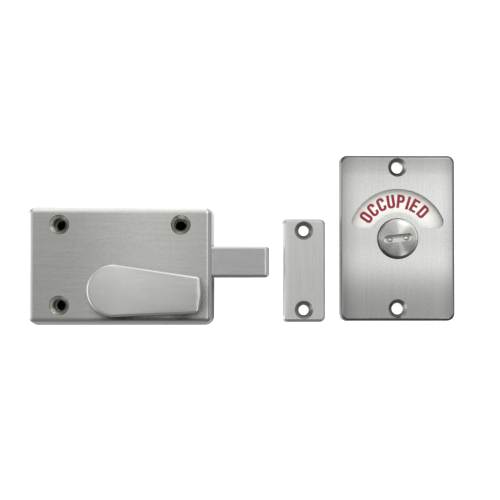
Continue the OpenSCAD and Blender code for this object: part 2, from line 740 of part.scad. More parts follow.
lock_case();
back_plate();
back_plate_screws();
lever_bush();
bolt_stop_pin();
bolt_spring();
spring_rivet();
bolt();
lever();
drive_pinion();
pinion_washer();
pinion_circlip();
keep_plate();
indicator_plate();
coin_turn();
turn_washer();
indicator_disc();
clinch_plate();
turn_rivets();
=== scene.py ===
import json
import math

import bmesh
import bpy
from mathutils import Matrix, Vector


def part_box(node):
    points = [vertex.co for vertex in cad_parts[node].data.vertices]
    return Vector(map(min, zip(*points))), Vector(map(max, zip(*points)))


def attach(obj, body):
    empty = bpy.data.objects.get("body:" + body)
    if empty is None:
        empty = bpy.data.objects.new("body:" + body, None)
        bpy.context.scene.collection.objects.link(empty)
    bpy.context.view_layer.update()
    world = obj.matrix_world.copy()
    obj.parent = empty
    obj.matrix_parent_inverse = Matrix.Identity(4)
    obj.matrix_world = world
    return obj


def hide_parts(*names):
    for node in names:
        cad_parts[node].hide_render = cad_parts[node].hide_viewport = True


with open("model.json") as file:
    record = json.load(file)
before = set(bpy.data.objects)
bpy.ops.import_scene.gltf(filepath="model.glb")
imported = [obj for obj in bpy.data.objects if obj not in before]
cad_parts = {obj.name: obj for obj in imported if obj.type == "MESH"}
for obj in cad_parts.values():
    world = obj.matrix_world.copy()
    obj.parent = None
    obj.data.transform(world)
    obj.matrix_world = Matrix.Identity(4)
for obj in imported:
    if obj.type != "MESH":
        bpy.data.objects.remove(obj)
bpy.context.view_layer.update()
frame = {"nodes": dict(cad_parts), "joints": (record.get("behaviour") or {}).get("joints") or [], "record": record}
nodes = frame["nodes"]
joints = {joint["name"]: joint for joint in frame["joints"]}
mounts = {mount["name"]: mount for mount in frame["record"]["mounts"]}
scene = bpy.context.scene
mm = 0.001
leverPivot = Vector(joints["lever_turn"]["pos_m"])
turnCentre = Vector(joints["indicator_turn"]["pos_m"])


# Shader helpers
def plug(tree, socket, value):
    if isinstance(value, bpy.types.NodeSocket):
        tree.links.new(value, socket)
    else:
        socket.default_value = value


def addNode(tree, kind, plugs=None, **settings):
    node = tree.nodes.new("ShaderNode" + kind)
    for name, value in settings.items():
        setattr(node, name, value)
    for name, value in (plugs or {}).items():
        plug(tree, node.inputs[name], value)
    return node


def calc(tree, operation, a, b=0.0, clamp=False):
    node = addNode(tree, "Math", operation=operation, use_clamp=clamp)
    plug(tree, node.inputs[0], a)
    plug(tree, node.inputs[1], b)
    return node.outputs[0]


def vecCalc(tree, operation, a, b=(0.0, 0.0, 0.0)):
    node = addNode(tree, "VectorMath", operation=operation)
    plug(tree, node.inputs[0], a)
    plug(tree, node.inputs[1], b)
    return node.outputs["Value" if operation == "LENGTH" else "Vector"]


def axes(tree, vector):
    # a vector's X, Y and Z
    return addNode(tree, "SeparateXYZ", {"Vector": vector}).outputs


def vectorOf(tree, **parts):
    return addNode(tree, "CombineXYZ", parts).outputs["Vector"]


def tilt(tree):
    # which way the surface faces
    return axes(tree, addNode(tree, "NewGeometry").outputs["Normal"])


def flatOffset(tree, place, centre):
    # how far a point lies from an upright axis, along x and y
    return vecCalc(tree, "MULTIPLY", vecCalc(tree, "SUBTRACT", place, centre), (1.0, 1.0, 0.0))


def spread(tree, value, low, high, smooth=False):
    # 0 to 1 in, low to high out
    node = addNode(tree, "MapRange", {"Value": value, "To Min": low, "To Max": high})
    node.interpolation_type = "SMOOTHSTEP" if smooth else "LINEAR"
    return node.outputs["Result"]


def vary(tree, value, by, middle=1.0):
    return spread(tree, value, middle - by, middle + by)


def fade(tree, value, start, end):
    # 0 below start, 1 above end, soft between
    node = addNode(tree, "MapRange", {"Value": value, "From Min": start, "From Max": end})
    node.interpolation_type = "SMOOTHSTEP"
    return node.outputs["Result"]


def within(tree, value, full, end):
    # 1 up to full, 0 from end on
    return calc(tree, "SUBTRACT", 1.0, fade(tree, value, full, end))


def tint(tree, color, factor):
    # a colour times a grey factor
    node = addNode(tree, "VectorMath", operation="SCALE")
    node.inputs[0].default_value = color
    plug(tree, node.inputs["Scale"], factor)
    return node.outputs["Vector"]


def mixColor(tree, factor, a, b):
    node = addNode(tree, "Mix", data_type="RGBA")
    plug(tree, node.inputs["Factor"], factor)
    for name, color in (("A", a), ("B", b)):
        plug(tree, node.inputs[name], color if isinstance(color, bpy.types.NodeSocket) else (*color, 1.0))
    return node.outputs["Result"]


def newMaterial(name, metallic=0.0):
    material = bpy.data.materials.new(name)
    material.use_nodes = True
    shader = material.node_tree.nodes["Principled BSDF"]
    shader.inputs["Metallic"].default_value = metallic
    return material, material.node_tree, shader


def addBump(tree, shader, height):
    bump = addNode(tree, "Bump", {"Strength": 1.0, "Distance": 1.0, "Height": height})
    plug(tree, shader.inputs["Normal"], bump.outputs["Normal"])


def noise(tree, place, size, detail=2.0):
    # size: how long one blotch is, in metres, along x, y and z
    scaled = vecCalc(tree, "DIVIDE", place, size)
    return addNode(tree, "TexNoise", {"Vector": scaled, "Scale": 1.0, "Detail": detail}).outputs["Fac"]


# Brushed and turned metal: the grain runs along x, along y or round a centre
def grainSpace(tree, place, look):
    if look["grain"] == "round":
        flat = flatOffset(tree, place, look["centre"])
        parts = axes(tree, flat)
        angle = calc(tree, "MULTIPLY", calc(tree, "ARCTAN2", parts["Y"], parts["X"]), look["arm"])
        return vectorOf(tree, X=vecCalc(tree, "LENGTH", flat), Y=angle), flat
    return place, vectorOf(tree, **{"Y" if look["grain"] == "x" else "X": 1.0})


def streak(tree, place, look, width, detail):
    along = look["streakLength"]
    size = (along, width, width) if look["grain"] == "x" else (width, along, width)
    return noise(tree, place, size, detail)


def satinMetal(name, look):
    material, tree, shader = newMaterial(name, metallic=1.0)
    place = addNode(tree, "TexCoord").outputs["Object"]
    grain, across = grainSpace(tree, place, look)
    fine = streak(tree, grain, look, look["hair"], detail=3.0)
    broad = streak(tree, grain, look, look["hair"] * look["broadness"], detail=1.0)
    cloud = noise(tree, place, (look["cloudSize"],) * 3)
    speck = noise(tree, place, (look["speckSize"],) * 3)
    lift = calc(tree, "ADD", vary(tree, fine, look["hairTint"], 0.0), vary(tree, broad, look["broadTint"]))
    lift = calc(tree, "ADD", lift, vary(tree, speck, look["speckTint"], 0.0))
    color = tint(tree, look["color"], calc(tree, "MULTIPLY", lift, vary(tree, cloud, look["cloudTint"])))
    height = spread(tree, fine, 0.0, look["hairDepth"])
    # painted shade and highlight over the edges
    if "edge" in look:
        color = vecCalc(tree, "MULTIPLY", color, paintedEdgeShade(tree, place, look["edge"]))
    pillow = look.get("pillow", {})  # the face falls away towards its edges, and painted shade dims it there; where the depth is negative it paints a highlight instead
    for side, depth in pillow.get("shade", {}).items():
        paintedEdgeDim = spread(tree, nearEdge(tree, place, pillow, side), 1.0, 1.0 - depth)
        color = vecCalc(tree, "MULTIPLY", color, paintedEdgeDim)
    for side, depth in pillow.get("fall", {}).items():
        drop = calc(tree, "MULTIPLY", nearEdge(tree, place, pillow, side), depth)
        height = calc(tree, "SUBTRACT", height, drop)
    # painted shadow beside raised pieces
    if "shelter" in look:
        color = vecCalc(tree, "MULTIPLY", color, paintedShelterShadow(tree, look["shelter"]))
    wearAndGlint = spread(tree, calc(tree, "ABSOLUTE", tilt(tree)["Z"]), look["edgeRoughness"], look["roughness"],
                  smooth=True)
    rough = calc(tree, "MULTIPLY", wearAndGlint, vary(tree, broad, look["roughTint"]), clamp=True)
    if "slot" in look:  # the floor of the coin slot is left rough from casting, and painted shade darkens its upper wall
        slot, upper = slotShares(tree, place, look)
        castAndShade = tint(tree, look["slot"]["color"], spread(tree, upper, 1.0, look["slot"]["upperShade"]))
        color = mixColor(tree, slot, color, castAndShade)
        rough = spread(tree, slot, rough, look["slot"]["roughness"])
        plug(tree, shader.inputs["Metallic"], spread(tree, slot, 1.0, look["slot"]["metal"]))
    if "seats" in look:  # bare, darker metal in the seats of the screws, and painted shade round the rivet heads
        away = nearestSeat(tree, place, look["seats"])
        seat = within(tree, away, look["seatRadius"] - look["seatEdge"], look["seatRadius"])
        color = mixColor(tree, seat, color, seatColor(tree, place, look, away))
    if "boreRadius" in look:  # painted shade down the screw holes: near black, matt and not metal
        bore = within(tree, away, look["boreRadius"] - look["seatEdge"], look["boreRadius"])
        color = mixColor(tree, bore, color, look["paintedBoreShade"])
        rough = calc(tree, "MAXIMUM", rough, bore)
        plug(tree, shader.inputs["Metallic"], calc(tree, "SUBTRACT", 1.0, bore))
    plug(tree, shader.inputs["Base Color"], color)
    plug(tree, shader.inputs["Roughness"], rough)
    shader.inputs["Anisotropic"].default_value = look["anisotropy"]
    turned = addNode(tree, "VectorTransform", {"Vector": across}, vector_type="VECTOR",
                     convert_from="OBJECT", convert_to="WORLD").outputs["Vector"]
    plug(tree, shader.inputs["Tangent"], turned)
    addBump(tree, shader, height)
    return material


def paintedEdgeShade(tree, place, edge):
    # painted shade and highlight where the surface turns over an edge; facing and outer are ranges of the upward
    # tilt
    normal = tilt(tree)
    leaning = within(tree, normal["Z"], *edge["facing"])
    shade = spread(tree, leaning, 1.0, edge["shade"])
    for axis, sign, start, full, depth in edge.get("sides", ()):  # one side of the edge by itself
        side = fade(tree, calc(tree, "MULTIPLY", normal[axis], sign), start, full)
        shade = calc(tree, "MULTIPLY", shade, spread(tree, side, 1.0, depth))
    if "outer" in edge:
        shade = spread(tree, within(tree, normal["Z"], *edge["outer"]), shade, edge["outerShade"])
    if "window" in edge:  # painted shade: the cut edge of the window is darker still
        away = vecCalc(tree, "LENGTH", flatOffset(tree, place, turnCentre))
        cut = calc(tree, "MULTIPLY", calc(tree, "LESS_THAN", away, edge["window"]), leaning)
        shade = calc(tree, "MULTIPLY", shade, spread(tree, cut, 1.0, edge["cutShade"]))
    return shade


def nearEdge(tree, place, pillow, side):
    # 0 on the flat of a face, rising to 1 at its edge on that side
    low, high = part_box(pillow["node"])
    axis, sign = {"east": ("x", 1), "west": ("x", -1), "north": ("y", 1), "south": ("y", -1)}[side]
    edge = getattr(high if sign > 0 else low, axis)
    inside = calc(tree, "MULTIPLY", calc(tree, "SUBTRACT", edge, axes(tree, place)[axis.upper()]), sign)
    share = calc(tree, "SUBTRACT", 1.0, calc(tree, "DIVIDE", inside, pillow["width"]), clamp=True)
    return calc(tree, "POWER", share, 2.0)


def paintedShelterShadow(tree, shelter):
    # painted shadow: the colour darkens where a raised piece keeps the light of the windows off the metal beside
    # it
    towards = vectorOf(tree, **dict(zip("XYZ", shelter["towards"])))
    clear = addNode(tree, "AmbientOcclusion", {"Distance": shelter["reach"], "Normal": towards},
                    samples=shelter["samples"]).outputs["AO"]
    hidden = within(tree, clear, *shelter["range"])
    flat = fade(tree, tilt(tree)["Z"], *shelter["facing"])
    return spread(tree, calc(tree, "MULTIPLY", hidden, flat), 1.0, shelter["shade"])


def slotShares(tree, place, look):
    # 1 inside the coin slot and 0 on the face, and the same for the slot's upper wall, which takes painted shade
    slot = look["slot"]
    half = slot["width"] / 2
    offset = vecCalc(tree, "SUBTRACT", place, look["centre"])
    turned = addNode(tree, "VectorRotate", {"Vector": offset, "Angle": -math.radians(slot["lean"])},
                     rotation_type="Z_AXIS").outputs["Vector"]
    parts = axes(tree, turned)
    beyond = calc(tree, "SUBTRACT", calc(tree, "ABSOLUTE", parts["X"]), slot["length"] / 2 - half)
    away = vecCalc(tree, "LENGTH", vectorOf(tree, X=calc(tree, "MAXIMUM", beyond, 0.0), Y=parts["Y"]))
    return within(tree, away, half - slot["soft"], half), fade(tree, parts["Y"], *slot["upper"])


def nearestSeat(tree, place, seats):
    # how far the axis of the nearest seat is
    nearest = None
    for x, y in seats:
        away = vecCalc(tree, "LENGTH", flatOffset(tree, place, (x, y, 0.0)))
        nearest = away if nearest is None else calc(tree, "MINIMUM", nearest, away)
    return nearest


def seatColor(tree, place, look, away):
    # a turned seat: a painted highlight in a ring round the bore, and a painted glint on one side
    color = look["seatColor"]
    if "ring" in look:
        ring = look["ring"]
        off = calc(tree, "ABSOLUTE", calc(tree, "SUBTRACT", away, ring["radius"]))
        color = mixColor(tree, within(tree, off, ring["core"], ring["half"]), color, ring["color"])
    if "glint" in look:
        glint = look["glint"]
        spots = [swing(x, y, glint["radius"], degrees)
                 for (x, y), degrees in zip(look["seats"], glint["degrees"])]
        wearAndGlint = within(tree, nearestSeat(tree, place, spots), glint["full"], glint["end"])
        color = mixColor(tree, wearAndGlint, color, glint["color"])
    return color


def swing(x, y, radius, degrees):
    # the point at that distance and angle from (x, y)
    a = math.radians(degrees)
    return x + radius * math.cos(a), y + radius * math.sin(a)


def holePlaces(name):
    # centres of the fixing holes, up each column from the left
    x, y = mounts[name]["pos_m"][:2]
    size = mounts[name]["dims"]
    rows = [y + j * size["spacing_y_mm"] * mm / 2 for j in (-1, 1)]
    columns = [x + i * size["spacing_x_mm"] * mm / 2 for i in (-1, 1)] if "spacing_x_mm" in size else [x]
    return [(column, row) for column in columns for row in rows]


def rivetPlaces(slot):
    # the two rivets lie along the coin slot
    reach = slot["rivets"] / 2
    return [swing(turnCentre.x, turnCentre.y, reach, slot["lean"] + turned) for turned in (180, 0)]


# Painted shade on the sides of an edge: axis, sign, the tilts where the painted shade starts and is full, and the
# shade itself; above 1 it paints a highlight
chromeLook = {
    "grain": "x", "color": (0.645, 0.655, 0.625), "roughness": 0.17, "edgeRoughness": 0.24, "roughTint": 0.1,
    "anisotropy": 1.0, "hair": 0.16 * mm, "broadness": 6.0, "streakLength": 14 * mm, "hairTint": 0.08,
    "broadTint": 0.035, "speckSize": 0.7 * mm, "speckTint": 0.11, "cloudSize": 16 * mm, "cloudTint": 0.04,
    "hairDepth": 0.006 * mm,
}
caseLook = dict(
    chromeLook, seats=holePlaces("case_fixings"), seatRadius=4.25 * mm, seatEdge=0.3 * mm,
    seatColor=(0.27, 0.26, 0.21),
    # painted highlights in the seats: a ring round each bore and a glint on one side
    ring={"radius": 3.3 * mm, "half": 0.7 * mm, "core": 0.28 * mm, "color": (0.52, 0.51, 0.46)},
    glint={"degrees": (225, 215, 215, 85), "radius": 3.3 * mm, "full": 0.5 * mm, "end": 2.0 * mm,
           "color": (0.95, 0.95, 0.88)},
    # painted shade down the screw holes
    boreRadius=2.7 * mm, paintedBoreShade=(0.012, 0.012, 0.010),
    # painted shadow of the lever on the case face
    shelter={"towards": (-0.42, 0.62, 0.66), "reach": 9 * mm, "range": (0.40, 0.64), "facing": (0.7, 0.95),
             "shade": 0.08, "samples": 8},
    pillow={"node": "lock_case", "width": 5.5 * mm, "fall": {"north": 0.14 * mm}},
    # painted shade and highlight over the case's edges: darker on the east side, lighter on its steep walls
    edge={"facing": (0.45, 0.97), "shade": 1.0, "sides": (("X", 1, 0.03, 0.2, 0.74),), "outer": (0.2, 0.6),
          "outerShade": 1.1})
leverLook = dict(
    chromeLook, color=(0.73, 0.74, 0.71), cloudTint=0.03, hairTint=0.04, speckTint=0.05, edgeRoughness=0.36,
    # painted shade over the lever's edges, most on its east side
    edge={"facing": (0.45, 0.97), "shade": 0.78, "sides": (("X", 1, 0.03, 0.2, 0.58),)})
boltLook = dict(
    leverLook, color=(0.63, 0.64, 0.63), hairTint=0.03, broadTint=0.03,
    # painted shade over the bolt's edges
    edge={"facing": (0.45, 0.97), "shade": 0.82})
plateLook = {
    "grain": "y", "color": (0.72, 0.725, 0.71), "roughness": 0.12, "edgeRoughness": 0.26, "roughTint": 0.1,
    "anisotropy": 1.0, "hair": 0.18 * mm, "broadness": 5.0, "streakLength": 22 * mm, "hairTint": 0.07,
    "broadTint": 0.04, "speckSize": 0.7 * mm, "speckTint": 0.12, "cloudSize": 22 * mm, "cloudTint": 0.02,
    "hairDepth": 0.004 * mm,
    "seats": holePlaces("indicator_fixings"), "seatRadius": 4.1 * mm, "seatEdge": 0.3 * mm,
    "seatColor": (0.37, 0.365, 0.34),
    "pillow": {"node": "indicator_plate", "width": 9 * mm,
               # painted shade towards the west, east and north edges, painted highlight towards the south edge
               "shade": {"west": 0.47, "east": 0.50, "north": 0.22, "south": -0.20},
               "fall": dict.fromkeys(("west", "east", "north"), 0.15 * mm)},
    # painted shade over the plate's edges, most across its north and south edges and down the window's cut edge,
    # lighter on the steep outer rim
    "edge": {"facing": (0.88, 0.998), "shade": 0.45,
             "sides": (("Y", 1, 0.01, 0.08, 0.45), ("Y", -1, 0.01, 0.08, 0.45)),
             "outer": (0.35, 0.8), "outerShade": 0.9, "window": 23.4 * mm, "cutShade": 0.10},
}
keepLook = dict(
    plateLook, color=(0.68, 0.685, 0.67), roughness=0.32, anisotropy=0.6, hairTint=0.12, broadTint=0.065,
    seats=holePlaces("keep_fixings"),
    # painted highlight towards the west edge, faint painted shade towards the east edge
    pillow={"node": "keep_plate", "width": 4.5 * mm, "shade": {"west": -0.55, "east": 0.06}},
    # painted shade over the keep's edges, most on its north edge
    edge={"facing": (0.80, 0.99), "shade": 1.0, "sides": (("Y", 1, 0.01, 0.08, 0.70),)})
# Slot in the head of the coin turn, and how far apart the two rivets in it are
coinSlot = {"length": 12.6 * mm, "width": 3.5 * mm, "lean": 6.5, "rivets": 7.2 * mm}
turnLook = {
    "grain": "round", "centre": tuple(turnCentre), "arm": 6 * mm, "color": (0.55, 0.55, 0.53),
    "roughness": 0.22, "edgeRoughness": 0.24, "roughTint": 0.1, "anisotropy": 1.0, "hair": 0.12 * mm,
    "broadness": 4.0, "streakLength": 9 * mm, "hairTint": 0.05, "broadTint": 0.04, "speckSize": 0.6 * mm,
    "speckTint": 0.05, "cloudSize": 9 * mm, "cloudTint": 0.02, "hairDepth": 0.0008 * mm,
    "seats": rivetPlaces(coinSlot), "seatRadius": 1.5 * mm, "seatEdge": 0.3 * mm,
    # painted shade round the rivet heads
    "seatColor": (0.26, 0.26, 0.24),
    # painted shade: a dark outline round the head, painted highlight on its east bevel, painted shade on its west
    # and south
    "edge": {"facing": (0.40, 0.52), "shade": 0.16,
             "sides": (("X", 1, 0.2, 0.36, 1.7), ("X", -1, 0.2, 0.36, 0.7), ("Y", -1, 0.15, 0.36, 0.50),
                       ("Y", -1, 0.0, 0.07, 0.68))},
    # painted shade on the slot's upper wall
    "slot": dict(coinSlot, soft=0.3 * mm, color=(0.66, 0.66, 0.62), upper=(0.2 * mm, 1.3 * mm),
                 upperShade=0.28, metal=0.35, roughness=0.45),
}
steelLook = {
    "grain": "x", "color": (0.56, 0.57, 0.58), "roughness": 0.38, "edgeRoughness": 0.34, "roughTint": 0.1,
    "anisotropy": 0.3, "hair": 0.3 * mm, "broadness": 5.0, "streakLength": 10 * mm, "hairTint": 0.06,
    "broadTint": 0.05, "speckSize": 0.6 * mm, "speckTint": 0.04, "cloudSize": 7 * mm, "cloudTint": 0.08,
    "hairDepth": 0.004 * mm,
}
caseSatin = satinMetal("case_satin_chrome", caseLook)
leverSatin = satinMetal("lever_satin_chrome", leverLook)
boltSatin = satinMetal("bolt_satin_chrome", boltLook)
plateSatin = satinMetal("plate_brushed_chrome", plateLook)
keepSatin = satinMetal("keep_brushed_chrome", keepLook)
turnSatin = satinMetal("turn_turned_chrome", turnLook)
sheetSteel = satinMetal("zinc_sheet", steelLook)
brightSteel = satinMetal("bright_steel", dict(steelLook, color=(0.86, 0.86, 0.84), roughness=0.2))
springSteel = satinMetal("spring_steel", dict(steelLook, color=(0.46, 0.46, 0.46), roughness=0.3))
pinionSteel = satinMetal("sintered_steel", dict(steelLook, color=(0.5, 0.5, 0.49), roughness=0.5))
print("metals made")


# Enamel, ink and nylon
def coated(name, look):
    material, tree, shader = newMaterial(name)
    place = addNode(tree, "TexCoord").outputs["Object"]
    cloud = noise(tree, place, (look["cloudSize"],) * 3)
    speck = noise(tree, place, (look["speckSize"],) * 3, detail=4.0)
    shade = calc(tree, "MULTIPLY", vary(tree, cloud, look["cloudTint"]),
                 vary(tree, speck, look["speckTint"]))
    if "paintedRimShade" in look:  # painted shade: the disc darkens towards its rim, where the window's edge keeps the light off it
        rimward = fade(tree, vecCalc(tree, "LENGTH", flatOffset(tree, place, turnCentre)), *look["paintedRimShade"])
        shade = calc(tree, "MULTIPLY", shade, spread(tree, rimward, 1.0, look["paintedRimShadeDepth"]))
    plug(tree, shader.inputs["Base Color"], tint(tree, look["color"], shade))
    plug(tree, shader.inputs["Roughness"], vary(tree, speck, look["roughTint"], look["roughness"]))
    addBump(tree, shader, spread(tree, speck, 0.0, look["speckDepth"]))
    return material


enamelLook = {"color": (0.90, 0.885, 0.835), "roughness": 0.38, "roughTint": 0.06, "cloudSize": 9 * mm,
              "cloudTint": 0.03, "speckSize": 0.5 * mm, "speckTint": 0.02, "speckDepth": 0.003 * mm}
inkLook = dict(enamelLook, roughness=0.45, speckTint=0.10)
# painted shade towards the disc's rim
creamEnamel = coated("cream_enamel", dict(enamelLook, paintedRimShade=(14.5 * mm, 23 * mm), paintedRimShadeDepth=0.66))
redInk = coated("red_ink", dict(inkLook, color=(0.26, 0.010, 0.032)))
greenInk = coated("green_ink", dict(inkLook, color=(0.015, 0.17, 0.07)))
whiteNylon = coated("white_nylon", dict(enamelLook, color=(0.80, 0.79, 0.74), roughness=0.5))


# The CAD pieces keep their shape and take a finish
finishes = {
    "lock_case": caseSatin, "back_plate": sheetSteel, "back_plate_screws": brightSteel,
    "lever_bush": whiteNylon, "bolt_stop_pin": brightSteel, "bolt_spring": springSteel,
    "spring_rivet": brightSteel, "bolt": boltSatin, "lever": leverSatin, "drive_pinion": pinionSteel,
    "pinion_washer": springSteel, "pinion_circlip": springSteel, "keep_plate": keepSatin,
    "indicator_plate": plateSatin, "coin_turn": turnSatin, "turn_washer": whiteNylon,
    "indicator_disc": creamEnamel, "clinch_plate": sheetSteel, "turn_rivets": brightSteel,
}
for name, material in finishes.items():
    mesh = nodes[name].data
    mesh.materials.clear()
    mesh.materials.append(material)
print("finishes on", len(finishes), "CAD pieces")


# Rings of points, skinned into one closed mesh
def loft(name, rings, material, sharp=38, weld=0.001 * mm, sliver=0.0001 * mm):
    build = bmesh.new()
    loops = [[build.verts.new(point) for point in ring] for ring in rings]
    for low, high in zip(loops, loops[1:]):
        for i in range(len(low)):
            j = (i + 1) % len(low)
            build.faces.new((low[i], low[j], high[j], high[i]))
    bmesh.ops.remove_doubles(build, verts=build.verts, dist=weld)
    bmesh.ops.dissolve_degenerate(build, edges=build.edges, dist=sliver)
    bmesh.ops.recalc_face_normals(build, faces=build.faces)
    mesh = bpy.data.meshes.new(name)
    build.to_mesh(mesh)
    build.free()
    for face in mesh.polygons:
        face.use_smooth = True
    mesh.set_sharp_from_angle(angle=math.radians(sharp))
    mesh.materials.append(material)
    return addPiece(name, mesh)


def addPiece(name, data):
    piece = bpy.data.objects.new(name, data)
    scene.collection.objects.link(piece)
    return piece


def angles(count):
    return [2 * math.pi * (i + 0.5) / count for i in range(count)]


def quarter(steps):
    # sine and cosine over a quarter turn
    return [(math.sin(math.pi / 2 * k / steps), math.cos(math.pi / 2 * k / steps)) for k in range(steps + 1)]


def roundTo(radius, count):
    return [(radius * math.cos(a), radius * math.sin(a)) for a in angles(count)]


def squareTo(side, count, limit=1.0):
    # a square outline with corners cut off by a circle of radius limit
    points = []
    for a in angles(count):
        reach = min(side / 2 / max(abs(math.cos(a)), abs(math.sin(a))), limit)
        points.append((reach * math.cos(a), reach * math.sin(a)))
    return points


def between(starts, ends, share):
    # points a share of the way from one outline to another
    return [(a + (c - a) * share, b + (d - b) * share) for (a, b), (c, d) in zip(starts, ends)]


def placeAt(centre, lean):
    return Matrix.Translation((centre.x, centre.y, 0)) @ Matrix.Rotation(math.radians(lean), 4, "Z")


def ringAt(points, heights, place):
    return [place @ Vector((x, y, z)) for (x, y), z in zip(points, heights)]


def levelRings(steps, place):
    # steps: outlines, each with the height that it lies at
    return [ringAt(points, [z] * len(points), place) for points, z in steps]


# Lever: a paddle that swells to its round end, with the spigot that carries the pinion
leverShape = {
    "hub": 11.1 * mm, "reach": 37.5 * mm, "tipWidth": 15.7 * mm, "tipCorner": 2.0 * mm, "bulge": 0.6 * mm,
    "lean": -2.9, "bottom": 18.9 * mm, "top": 25.5 * mm, "tipLift": 1.6 * mm, "draft": 0.3 * mm,
    "fillet": 0.9 * mm, "filletSteps": 8, "lowEdge": 0.35 * mm, "lowSteps": 4, "points": 192,
    "crown": 0.26 * mm, "crownShares": (0.0, 0.25, 0.4, 0.5, 0.6, 0.7, 0.8, 0.9, 0.95),
    "roll": 0.12 * mm, "rollLength": 2.6 * mm, "fall": 0.3 * mm,
    "spigot": 4.5 * mm, "flats": 7.6 * mm, "flatsTop": 12.8 * mm, "groove": 4.0 * mm, "grooveTop": 6.7 * mm,
    "grooveLow": 5.9 * mm, "end": 5.1 * mm, "socket": 4.2 * mm, "socketTop": 14.1 * mm,
}


def paddleOutline(shape, inset):
    # outline of the discs' common envelope, one point for each outward direction
    endX = shape["reach"] - shape["tipCorner"]
    side = shape["tipWidth"] / 2 - shape["tipCorner"]
    discs = [(0.0, 0.0, shape["hub"]), (endX - shape["bulge"], side, shape["tipCorner"]),
             (endX - shape["bulge"], -side, shape["tipCorner"]), (endX, 0.0, shape["tipCorner"])]
    outline = []
    for a in angles(shape["points"]):
        n = (math.cos(a), math.sin(a))
        x, y, r = max(discs, key=lambda disc: disc[0] * n[0] + disc[1] * n[1] + disc[2])
        outline.append((x + (r - inset) * n[0], y + (r - inset) * n[1]))
    return outline


def makeLever(shape):
    place = placeAt(leverPivot, shape["lean"])
    count, top, draft, fillet = (shape[key] for key in ("points", "top", "draft", "fillet"))
    taper = (shape["tipWidth"] / 2 - shape["hub"]) / shape["reach"]
    rollStart = shape["reach"] - draft - fillet - shape["rollLength"]

    def dropAt(x, y):
        # the top is crowned across the lever, and falls and rolls over towards its tip
        across = y / (shape["hub"] + taper * max(x, 0.0))
        along = max(x - rollStart, 0.0) / shape["rollLength"]
        slope = shape["fall"] * (x + shape["hub"]) / (shape["reach"] + shape["hub"])
        return slope + shape["crown"] * across ** 2 + shape["roll"] * along ** 2

    rim = paddleOutline(shape, draft + fillet)
    spineEnd = shape["reach"] - shape["tipWidth"] / 2
    spine = [(min(max(x, 0.0), spineEnd), 0.0) for x, y in rim]
    rings = []
    for share in shape["crownShares"]:
        points = between(spine, rim, share)
        rings.append(ringAt(points, [top - dropAt(x, y) for x, y in points], place))
    for sine, cosine in quarter(shape["filletSteps"]):
        outline = paddleOutline(shape, draft + fillet * (1 - sine))
        rings.append(ringAt(outline, [top - dropAt(x, y) - fillet * (1 - cosine) for x, y in rim], place))
    for sine, cosine in quarter(shape["lowSteps"]):
        outline = paddleOutline(shape, shape["lowEdge"] * (1 - cosine))
        low = shape["bottom"] + shape["lowEdge"] * (1 - sine)
        lift = [shape["tipLift"] * min(max(x / shape["reach"], 0.0), 1.0) for x, y in outline]
        rings.append(ringAt(outline, [low + rise for rise in lift], place))
    spigot, groove = roundTo(shape["spigot"], count), roundTo(shape["groove"], count)
    flats = squareTo(shape["flats"], count, shape["spigot"])
    socket = squareTo(shape["socket"], count)
    steps = [(spigot, "bottom"), (spigot, "flatsTop"), (flats, "flatsTop"), (flats, "grooveTop"),
             (groove, "grooveTop"), (groove, "grooveLow"), (flats, "grooveLow"), (flats, "end"),
             (socket, "end"), (socket, "socketTop"), ([(0.0, 0.0)] * count, "socketTop")]
    rings += levelRings([(points, shape[height]) for points, height in steps], place)
    return loft("paddle_lever", rings, leverSatin)


lever = makeLever(leverShape)
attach(lever, "lever_group")
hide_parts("lever")
print("lever made")


# Coin turn: a bevelled, faintly domed head with a coin slot, and its neck with the spindle's socket
turnShape = {
    "head": 8.85 * mm, "low": 5.1 * mm, "top": 7.5 * mm, "bevel": 1.3 * mm, "dome": 0.36 * mm,
    "soft": 0.15 * mm, "rim": 0.5 * mm, "rimLow": 5.5 * mm, "rimTop": 6.7 * mm, "neck": 6.0 * mm,
    "neckLow": 2.9 * mm, "socket": 4.2 * mm, "socketTop": 5.0 * mm, "floor": 6.0 * mm, "points": 192,
    "faceShares": (0.3, 0.6, 0.85, 1.0), "dishShares": (0.97, 0.88, 0.76, 0.62, 0.46, 0.30, 0.15),
}


def slotOutline(reach, radius, count):
    # a slot with round ends, one point for each direction from its middle
    outline = []
    for a in angles(count):
        c, s = abs(math.cos(a)), abs(math.sin(a))
        if c * radius <= s * reach:
            t = radius / s
        else:
            t = reach * c + math.sqrt(max(radius ** 2 - (reach * s) ** 2, 0.0))
        outline.append((t * math.cos(a), t * math.sin(a)))
    return outline


